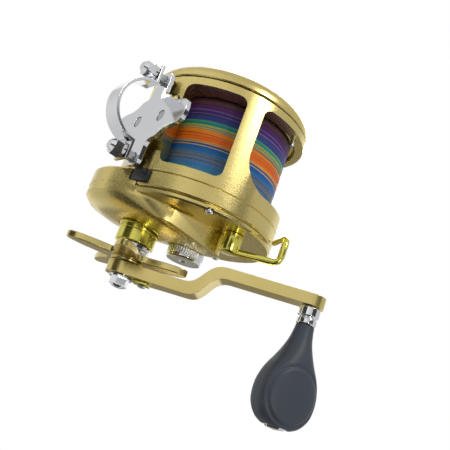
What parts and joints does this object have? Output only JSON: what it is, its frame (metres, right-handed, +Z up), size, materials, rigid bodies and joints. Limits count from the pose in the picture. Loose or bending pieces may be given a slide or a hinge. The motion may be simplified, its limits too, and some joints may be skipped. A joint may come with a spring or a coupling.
{
  "type": "star drag trolling reel",
  "caption": "Right-hand star-drag trolling reel: windowed barrel frame, spool full of blue braid, gear case with star wheel, bent crank with paddle knob, rod foot and clamp.",
  "frame": {"origin": "middle of the foot's underside, where the reel rests on the rod", "axes": "+X along the spool axis towards the crank handle, +Y forward along the rod to its tip, +Z up from the rod through the spool"},
  "size_m": [0.1542, 0.1105, 0.1238],
  "materials": {
    "gold_anodised": "brushed champagne-gold anodising",
    "lime_anodised": "glossy lime-gold anodising",
    "polished_silver": "polished",
    "steel": "satin",
    "brass": "machined",
    "black_plastic": "glossy",
    "knob_rubber": "matt with a soft sheen",
    "carbon": "woven carbon fibre",
    "blue_braid": "fine wound strands in bands of colour"
  },
  "bodies": {
    "housing": {"frame": "gold_anodised", "frame_block": "black_plastic", "reel_foot": "polished_silver", "foot_screw_1": "steel", "foot_screw_2": "steel", "clamp_stud_1": "steel", "clamp_stud_2": "steel", "left_side_plate": "gold_anodised", "left_plate_screw_1": "steel", "left_plate_screw_2": "steel", "left_plate_screw_3": "steel", "left_bearing_cap": "lime_anodised", "left_spool_bearing": "steel", "gear_plate": "steel", "yoke_spring_1": "steel", "yoke_spring_2": "steel", "drive_boss": "lime_anodised", "one_way_bearing": "steel", "right_side_plate": "gold_anodised", "right_plate_screw_1": "polished_silver", "right_plate_screw_2": "polished_silver", "right_plate_screw_3": "polished_silver", "right_spool_bearing": "steel"},
    "clamp": {"clamp_strap": "polished_silver", "clamp_nut_1": "polished_silver", "clamp_nut_2": "polished_silver"},
    "clicker": {"click_tongue": "steel", "click_button": "lime_anodised"},
    "spool": {"spool": "gold_anodised", "wound_line": "blue_braid", "spool_shaft": "steel", "click_gear": "brass"},
    "yoke": {"clutch_yoke": "steel"},
    "pinion": {"pinion_gear": "brass"},
    "crank": {"drive_shaft": "steel", "drive_gear": "brass", "ratchet_wheel": "steel", "drag_washer_1": "carbon", "drag_washer_2": "steel", "drag_washer_3": "carbon", "pressure_plate": "steel", "spring_washer": "steel", "drag_sleeve": "polished_silver", "handle_arm": "gold_anodised", "handle_nut": "polished_silver", "nut_lock_plate": "lime_anodised", "lock_screw": "polished_silver", "knob_spindle": "steel"},
    "star": {"star_wheel": "gold_anodised", "drag_nut": "brass"},
    "knob": {"knob_ferrule": "polished_silver", "knob_bearing": "steel", "knob_body": "knob_rubber", "knob_cap": "polished_silver"},
    "lever": {"clutch_lever": "lime_anodised", "clutch_cam": "steel"},
    "pawl": {"anti_reverse_pawl": "steel"},
    "cap": {"tension_cap": "polished_silver"}
  },
  "joints": [
    {"name": "crank_turn", "type": "hinge", "parent": "housing", "child": "crank", "pos_m": [0.05, 0.0181, 0.0275], "axis": [1, 0, 0], "continuous": true},
    {"name": "spool_spin", "type": "hinge", "parent": "housing", "child": "spool", "pos_m": [0, 0.0065, 0.0505], "axis": [1, 0, 0], "continuous": true},
    {"name": "star_turn", "type": "hinge", "parent": "crank", "child": "star", "pos_m": [0.059, 0.0181, 0.0275], "axis": [1, 0, 0], "range_deg": [-360, 360]},
    {"name": "knob_spin", "type": "hinge", "parent": "crank", "child": "knob", "pos_m": [0.07, -0.051, 0.0882], "axis": [1, 0, 0], "continuous": true},
    {"name": "lever_turn", "type": "hinge", "parent": "housing", "child": "lever", "pos_m": [0.04, -0.0222, 0.0539], "axis": [1, 0, 0], "range_deg": [0, 35]},
    {"name": "yoke_slide", "type": "slide", "parent": "housing", "child": "yoke", "axis": [1, 0, 0], "range_m": [0, 0.0024]},
    {"name": "pinion_spin", "type": "hinge", "parent": "yoke", "child": "pinion", "pos_m": [0.033, 0.0065, 0.0505], "axis": [1, 0, 0], "continuous": true},
    {"name": "click_slide", "type": "slide", "parent": "housing", "child": "clicker", "axis": [0, 0, -1], "range_m": [0, 0.003]},
    {"name": "cap_turn", "type": "hinge", "parent": "housing", "child": "cap", "pos_m": [0.045, 0.0065, 0.0505], "axis": [1, 0, 0], "range_deg": [-360, 360]},
    {"name": "clamp_slide", "type": "slide", "parent": "housing", "child": "clamp", "axis": [0, 0, -1], "range_m": [0, 0.004]},
    {"name": "pawl_turn", "type": "hinge", "parent": "housing", "child": "pawl", "pos_m": [0.0335, 0.0016, 0.0325], "axis": [1, 0, 0], "range_deg": [0, 12]}
  ],
  "couplings": [
    {"joint": "spool_spin", "follows": "crank_turn", "ratio": -5},
    {"joint": "pinion_spin", "follows": "crank_turn", "ratio": -5},
    {"joint": "yoke_slide", "follows": "lever_turn", "m_per_rad": 0.0036}
  ]
}
